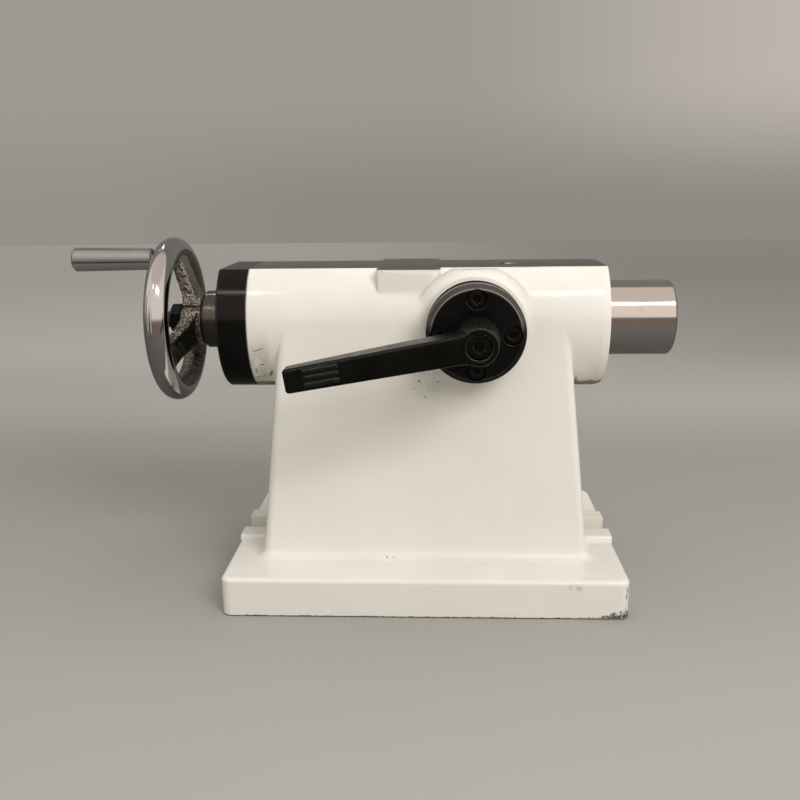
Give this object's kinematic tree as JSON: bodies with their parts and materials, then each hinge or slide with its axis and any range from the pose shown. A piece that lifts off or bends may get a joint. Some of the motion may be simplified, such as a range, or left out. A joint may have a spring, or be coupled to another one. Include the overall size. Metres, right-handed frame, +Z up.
{
  "type": "tailstock",
  "caption": "Tailstock with a hand-fed Morse taper quill, dished handwheel with revolving handle, side clamp lever and slotted base on an upright cast column.",
  "frame": {"origin": "centre of the base's underside below the spindle axis, midway between the base's two ends", "axes": "+X along the spindle axis towards the quill's nose, +Y away from the clamp lever, +Z up"},
  "size_m": [0.3548, 0.1814, 0.21],
  "materials": {
    "white_casting": "gloss warm white paint over a rough casting, machined bare on top",
    "black_cap": "satin black, turned",
    "black_flange": "black oxide, satin",
    "black_screws": "black oxide",
    "black_lever": "satin black coating on a die casting",
    "plated_wheel": "polished rim, rough plated spokes",
    "polished_handle": "bright turned steel",
    "ground_steel": "ground",
    "plain_steel": "machined",
    "bearing_steel": "polished",
    "bronze": "machined",
    "brass": "machined",
    "felt": "oiled felt"
  },
  "bodies": {
    "frame": {"body_casting": "white_casting", "rear_cap": "black_cap", "rear_cap_screws": "black_screws", "cap_bush": "bronze", "thrust_ring": "plain_steel", "front_race_fixed": "bearing_steel", "front_ball_set": "bearing_steel", "rear_race_fixed": "bearing_steel", "rear_ball_set": "bearing_steel", "guide_screw": "black_screws", "guide_lock_nut": "black_screws", "nose_wiper": "felt", "clamp_flange": "black_flange", "clamp_flange_screws": "black_screws", "oiler_body": "brass", "oiler_spring": "plain_steel"},
    "handwheel": {"handwheel": "plated_wheel", "lead_screw": "plain_steel", "wheel_key": "plain_steel", "wheel_washer": "black_screws", "wheel_nut": "black_screws", "handle_spindle": "plain_steel", "front_race_turning": "bearing_steel", "rear_race_turning": "bearing_steel"},
    "handle": {"handle_grip": "polished_handle"},
    "quill": {"quill": "ground_steel", "quill_nut": "bronze", "quill_nut_screws": "black_screws"},
    "clamp_lever": {"clamp_lever": "black_lever", "lever_screw": "black_screws", "clamp_screw": "black_flange"},
    "clamp_pad": {"clamp_pad": "brass"},
    "oiler_ball": {"oiler_ball": "bearing_steel"}
  },
  "joints": [
    {"name": "wheel_spin", "type": "hinge", "parent": "frame", "child": "handwheel", "pos_m": [-0.1532, 0, 0.16], "axis": [1, 0, 0], "range_deg": [-3240, 1440]},
    {"name": "handle_spin", "type": "hinge", "parent": "handwheel", "child": "handle", "pos_m": [-0.185, -0.01871, 0.19871], "axis": [1, 0, 0], "continuous": true},
    {"name": "quill_slide", "type": "slide", "parent": "frame", "child": "quill", "axis": [1, 0, 0], "range_m": [-0.036, 0.016]},
    {"name": "lever_turn", "type": "hinge", "parent": "frame", "child": "clamp_lever", "pos_m": [0.0293, -0.085, 0.16], "axis": [0, 1, 0], "range_deg": [-30, 60]},
    {"name": "pad_slide", "type": "slide", "parent": "frame", "child": "clamp_pad", "axis": [0, 1, 0], "range_m": [-0.00016, 0.0003]},
    {"name": "oiler_press", "type": "slide", "parent": "frame", "child": "oiler_ball", "axis": [0, 0, -1], "range_m": [0, 0.001], "stiffness_N_per_m": 200, "deforming": ["oiler_spring"]}
  ],
  "couplings": [
    {"joint": "quill_slide", "follows": "wheel_spin", "m_per_rad": 0.00063662},
    {"joint": "pad_slide", "follows": "lever_turn", "m_per_rad": 0.00027852}
  ]
}
